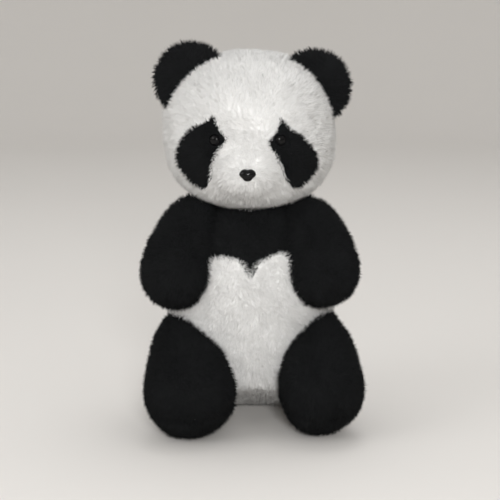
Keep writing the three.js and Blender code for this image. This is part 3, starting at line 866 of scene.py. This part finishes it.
# A place on the face at the pile's tips, and the way out there, from small steps across and up.
def surfaceSpot(x, z):
    step = 2 * mm
    xs = np.array([x, x + step, x - step, x, x])
    zs = np.array([z, z, z, z + step, z - step])
    depths = faceDepth(xs, zs, 0.0)
    slopeX = (depths[1] - depths[2]) / (2 * step)
    slopeZ = (depths[3] - depths[4]) / (2 * step)
    return np.array([x, depths[0], z]), unit(np.array([slopeX, -1.0, slopeZ]))


eyeSpots = {sideName: eyePlace(sideName) for sideName in sides}
noseSpot = surfaceSpot(faceMiddle, headForm["centre"][2] - noseShape["below"])


# No pile under the eyes and the nose.
def clearOfButtons(points):
    clear = np.ones(len(points), bool)
    for spot, _ in eyeSpots.values():
        clear &= np.linalg.norm((points - spot)[:, [0, 2]], axis=1) > eyeShape["bare"]
    away = (points - noseSpot[0])[:, [0, 2]]
    return clear & (np.linalg.norm(away, axis=1) > noseShape["bare"])


# No pile where the head is gathered at the neck, or where the ears are sewn in.
def clearOfHeadSeams(points):
    clear = eggLevel(torsoForm, points, -plush["skinDepth"] - torsoShape["underHead"]) > 1
    for sideName in sides:
        centre = earPlace(sideName)[0]
        aside = np.linalg.norm((points - centre)[:, [0, 2]], axis=1) < earShape["radius"]
        thick = np.abs(points[:, 1] - centre[1]) < earShape["halfThickness"] + earShape["bare"]
        clear &= ~(aside & thick)
    return clear


# The distance from each point to an outline's nearest corner, across and up.
def outlineDistance(outline, points):
    dx = points[:, 0:1] - outline[None, :, 0]
    dz = points[:, 2:3] - outline[None, :, 1]
    return np.sqrt((dx ** 2 + dz ** 2).min(axis=1))


# The face's white pile stops at the eye patches, and a little before them.
def clearOfPatches(points):
    clear = clearOfButtons(points) & clearOfHeadSeams(points)
    ahead = points[:, 1] < headForm["centre"][1]
    for outline in patchOutlines.values():
        taken = insideOutline(outline, points[:, 0], points[:, 2])
        taken |= outlineDistance(outline, points) < patchShape["fringe"]
        clear &= ~(ahead & taken)
    return clear


headComb = {
    "fromNose": 0.8, "faceDepth": 40 * mm, "down": (0.0, 0.3, -1.0),
    "faceLift": 0.75,  # how much less the pile of the face hangs down
}


# Down over the back and sides, outwards from the nose over the face, and away from the eye
# patches next to them.
def combHead(points):
    away = unit(points - noseSpot[0]) * headComb["fromNose"]
    ahead = smoothStep(-(points[:, 1] - headForm["centre"][1]), 0, headComb["faceDepth"])
    ahead = ahead[:, None]
    down = np.array(headComb["down"])
    lay = away * ahead + down * (1 - headComb["faceLift"] * ahead)
    for outline in patchOutlines.values():
        near = np.exp(-(outlineDistance(outline, points) / patchShape["fringeReach"]) ** 2)
        lay = lay + patchShape["push"] * (near[:, None] * ahead) * fromMiddle(outline, points)
    return lay


# The direction across and up from an outline's middle to each point.
def fromMiddle(outline, points):
    middle = outline.mean(axis=0)
    aside = points - np.array([middle[0], 0.0, middle[1]])
    aside[:, 1] = 0
    return unit(aside)


# The head's panels: on each side a face and a back, that meet at the side seam.
def addHead():
    edge = headShape["faceEdge"]
    halves = {"left": ((0.0, edge), (edge, 0.5)), "right": ((-edge, 0.0), (-0.5, -edge))}
    for sideName, (front, back) in halves.items():
        for panelName, (start, end) in {"face": front, "head_back": back}.items():
            node = f"{panelName}_{sideName}"
            seamEdge = {"face": {"left": "s1", "right": "s0"},
                        "head_back": {"left": "s0", "right": "s1"}}[panelName][sideName]
            seams = {seamEdge: headShape["panelWidth"]}
            panel = panelOf(headSurface, start, end, headShape["lowEnd"], headShape["highEnd"],
                            seams)
            keep = clearOfPatches if panelName == "face" else clearOfHeadSeams
            piece = addPanel(f"{node}_plush", node, panel, whitePlush, "white_plush",
                             combHead, keep, lean=26.0)
            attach(piece, "head")


# An eye patch: rings of its outline shrunk towards its middle, laid on the face.
def addPatch(sideName):
    outline = patchOutlines[sideName]
    middle = outline.mean(axis=0)
    closed = np.concatenate([outline, outline[:1]])

    def place(s, t):
        # Round the outline with s, and from near its middle out to its edge with t.
        where = s * len(outline)
        k = np.minimum(where.astype(int), len(outline) - 1)
        edge = closed[k] + (closed[k + 1] - closed[k]) * (where - k)[:, None]
        inner = patchShape["innermost"]
        flat = middle + (edge - middle) * (inner + (1 - inner) * t)[:, None]
        fall = 1 - smoothStep(t, patchShape["edgeFrom"], 1.0)
        lift = patchShape["height"] * fall - plush["skinDepth"]
        y = faceDepth(flat[:, 0], flat[:, 1], 0.0)
        points = np.stack([flat[:, 0], y, flat[:, 1]], axis=1)
        out = unit(points - headForm["centre"])
        return points + out * lift[:, None]

    def mirrored(s, t):
        return place(1 - s, t)

    def combAside(points):
        return fromMiddle(outline, points)

    surface = place if outwardOf(place, np.array([0.3]), np.array([0.5]))[0, 1] < 0 else mirrored
    piece = addPanel(f"eye_patch_{sideName}_plush", f"eye_patch_{sideName}", surface,
                     blackPlush, "black_plush", combAside, clearOfButtons, lean=28.0,
                     perSquareMm=2.0, length=5.2 * mm)
    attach(piece, "head")


# A turned button: a quarter ellipse for the dome, a short rim, and a flat closed back, carried
# round the outline that `reach` gives for each direction.
def addButton(name, node, spot, outward, reach, proud, behind):
    steps, turns = 20, 64
    side = unit(np.cross(np.array([0.0, 0.0, 1.0]), outward))
    up = np.cross(outward, side)
    profileAngle = np.linspace(0, math.pi / 2, steps)
    out = np.concatenate([np.cos(profileAngle)[::-1], [1.0, 0.94]])
    height = np.concatenate([np.sin(profileAngle)[::-1] * proud, [-behind * 0.6, -behind]])
    turn = np.arange(turns) / turns * 2 * math.pi
    radii = reach(turn)
    outGrid, turnGrid = np.meshgrid(out, turn, indexing="ij")
    heightGrid = np.repeat(height[:, None], turns, axis=1)
    across = (outGrid * radii[None, :] * np.cos(turnGrid)).ravel()
    along = (outGrid * radii[None, :] * np.sin(turnGrid)).ravel()
    rings = (spot + across[:, None] * side + along[:, None] * up
             + heightGrid.ravel()[:, None] * outward)[turns:]
    top = spot + outward * proud
    bottom = spot - outward * behind
    points = np.concatenate([rings, [top, bottom]])
    count = len(out) - 1
    index = np.arange(count * turns).reshape(count, turns)
    following = np.roll(index, -1, axis=1)
    quads = np.stack([index[:-1].ravel(), index[1:].ravel(), following[1:].ravel(),
                      following[:-1].ravel()], axis=1)
    topIndex, bottomIndex = len(points) - 2, len(points) - 1
    cap = np.stack([np.full(turns, topIndex), index[0], following[0]], axis=1)
    base = np.stack([np.full(turns, bottomIndex), following[-1], index[-1]], axis=1)
    uv = (points - spot)[:, [0, 2]] / (40 * mm) + 0.5
    mesh = makeMesh(name, points, quads, np.concatenate([cap, base]), uv,
                    np.ones(len(points)))
    piece = addPiece(name, mesh, glossBlack, [node])
    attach(piece, "head")


# An eye is round: the same radius all the way.
def roundReach(turn):
    return np.full_like(turn, eyeShape["radius"])


# The nose is a rounded triangle, widest above its middle and drawn to a soft point below.
def noseReach(turn):
    width, height = noseShape["halfWidth"], noseShape["halfHeight"]
    oval = width * height / np.hypot(height * np.cos(turn), width * np.sin(turn))
    return oval * (1 + 0.10 * np.sin(3 * turn) + 0.03 * np.cos(6 * turn))


# The patches, and the eyes and the nose sunk into the pile at their places.
def addFaceDetails():
    for sideName in sides:
        addPatch(sideName)
        spot, outward = eyeSpots[sideName]
        addButton(f"eye_{sideName}_dome", f"eye_{sideName}", spot - outward * eyeShape["sink"],
                  outward, roundReach, eyeShape["proud"], eyeShape["behind"])
    spot, outward = noseSpot
    addButton("nose_button", "nose", spot - outward * noseShape["sink"], outward, noseReach,
              noseShape["proud"], noseShape["behind"])


addHead()
addFaceDetails()
print("head made")


# ---- ears

# An ear is a padded disc: s turns round it, t goes from its middle to its edge, and its
# thickness falls off as a rounded ellipse.
def addEar(sideName):
    side = sides[sideName]
    centre, outward = earPlace(sideName)
    along = np.array([-outward[2] * side, 0.0, outward[0] * side])
    radius = earShape["radius"] - plush["skinDepth"]
    thickness = earShape["halfThickness"] - earShape["pileSink"] * plush["skinDepth"]

    def earFace(facing):
        def place(s, t):
            turn = 2 * math.pi * s * -facing * side
            out = radius * t
            bulge = thickness * (1 - t ** 3) ** 0.5
            dish = earShape["dish"] * (1 - t ** 2) if facing < 0 else 0.0
            lump = earShape["lump"] * np.sin(3 * turn + side)
            flat = (centre + (out * np.cos(turn))[:, None] * outward
                    + (out * np.sin(turn))[:, None] * along)
            flat[:, 1] += facing * (bulge - dish + lump * t * (1 - t))
            return flat
        return place

    def outsideHead(points):
        return eggLevel(headForm, points, -plush["skinDepth"] - earShape["overHead"]) > 1

    def combOut(points):
        return unit(points - centre) + np.array([0, 0, -0.3])

    for panelName, facing in {"front": -1, "back": 1}.items():
        surface = earFace(facing)
        here = outwardOf(surface, np.array([0.3]), np.array([0.5]))[0, 1]
        if here * facing < 0:
            original = surface
            surface = lambda s, t, original=original: original(1 - s, t)
        node = f"ear_{panelName}_{sideName}"
        inner = earShape["innermost"]
        trimmed = lambda s, t, surface=surface: surface(s, inner + (1 - inner) * t)
        piece = addPanel(f"{node}_plush", node, trimmed, blackPlush, "black_plush", combOut,
                         outsideHead, lean=30.0, length=5.4 * mm)
        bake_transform(piece)


for sideName in sides:
    addEar(sideName)
print("ears made")


# ---- what stays of the frame: fillings, washers and threads inside

# Each node that stays takes the finish that its name asks for.
def dressHiddenParts():
    for node, thing in frame["nodes"].items():
        if "filling" in node:
            material = stuffingFibre
        elif "thread" in node:
            material = sewingThread
        elif "washer" in node:
            material = washerPlastic
        else:
            continue
        thing.data.materials.clear()
        thing.data.materials.append(material)


dressHiddenParts()


# ---- floor and light

stageSettings = {
    "floorColour": (0.73, 0.71, 0.685), "worldColour": (0.80, 0.79, 0.775),
    "worldStrength": 0.88, "aimHeight": 0.17,
}


# A round floor that curves up into a wall far away on every side: flat out to the bend, then a
# quarter circle, then straight up.
def addFloor():
    bend, radius, wall = 2.6, 1.0, 0.8
    angle = np.linspace(0, math.pi / 2, 16)
    reach = np.concatenate([[0.4, 1.2], bend + radius * np.sin(angle), [bend + radius]])
    height = np.concatenate([[0, 0], radius * (1 - np.cos(angle)), [radius + wall]])
    turns = 64
    turn = np.arange(turns) / turns * 2 * math.pi
    rings = np.stack([np.outer(reach, np.cos(turn)), np.outer(reach, np.sin(turn)),
                      np.repeat(height[:, None], turns, axis=1)], axis=2).reshape(-1, 3)
    index = np.arange(len(reach) * turns).reshape(len(reach), turns)
    following = np.roll(index, -1, axis=1)
    quads = np.stack([index[:-1].ravel(), index[1:].ravel(), following[1:].ravel(),
                      following[:-1].ravel()], axis=1)
    points = np.concatenate([rings, [[0, 0, 0]]])
    middle = np.stack([np.full(turns, len(points) - 1), index[0], following[0]], axis=1)
    mesh = makeMesh("floor", points, quads, middle, points[:, :2], np.ones(len(points)))
    floor = bpy.data.objects.new("floor", mesh)
    bpy.context.scene.collection.objects.link(floor)
    mesh.materials.append(plainMaterial("paleFloor", stageSettings["floorColour"], 0.85, 3,
                                        0.006))


# A round lamp of that size and power, aimed at the toy's middle.
def addLight(name, place, size, power):
    data = bpy.data.lights.new(name, "AREA")
    data.shape = "DISK"
    data.size = size
    data.energy = power
    light = bpy.data.objects.new(name, data)
    light.location = place
    target = Vector((0, floorDepth, stageSettings["aimHeight"]))
    light.rotation_euler = (target - Vector(place)).to_track_quat("-Z", "Y").to_euler()
    bpy.context.scene.collection.objects.link(light)


# An even pale sky, and three lamps: before, beside and above.
def addLights():
    world = bpy.data.worlds.new("studio")
    world.use_nodes = True
    background = world.node_tree.nodes["Background"]
    background.inputs["Color"].default_value = (*stageSettings["worldColour"], 1)
    background.inputs["Strength"].default_value = stageSettings["worldStrength"]
    bpy.context.scene.world = world
    addLight("keyLight", (0.12, -1.5, 0.62), 0.3, 12)
    addLight("fillLight", (-1.5, -0.9, 0.9), 1.2, 7)
    addLight("topLight", (0.2, 0.6, 1.7), 1.2, 6)
    bpy.context.scene.view_settings.view_transform = "Standard"


addFloor()
addLights()

print("finished")
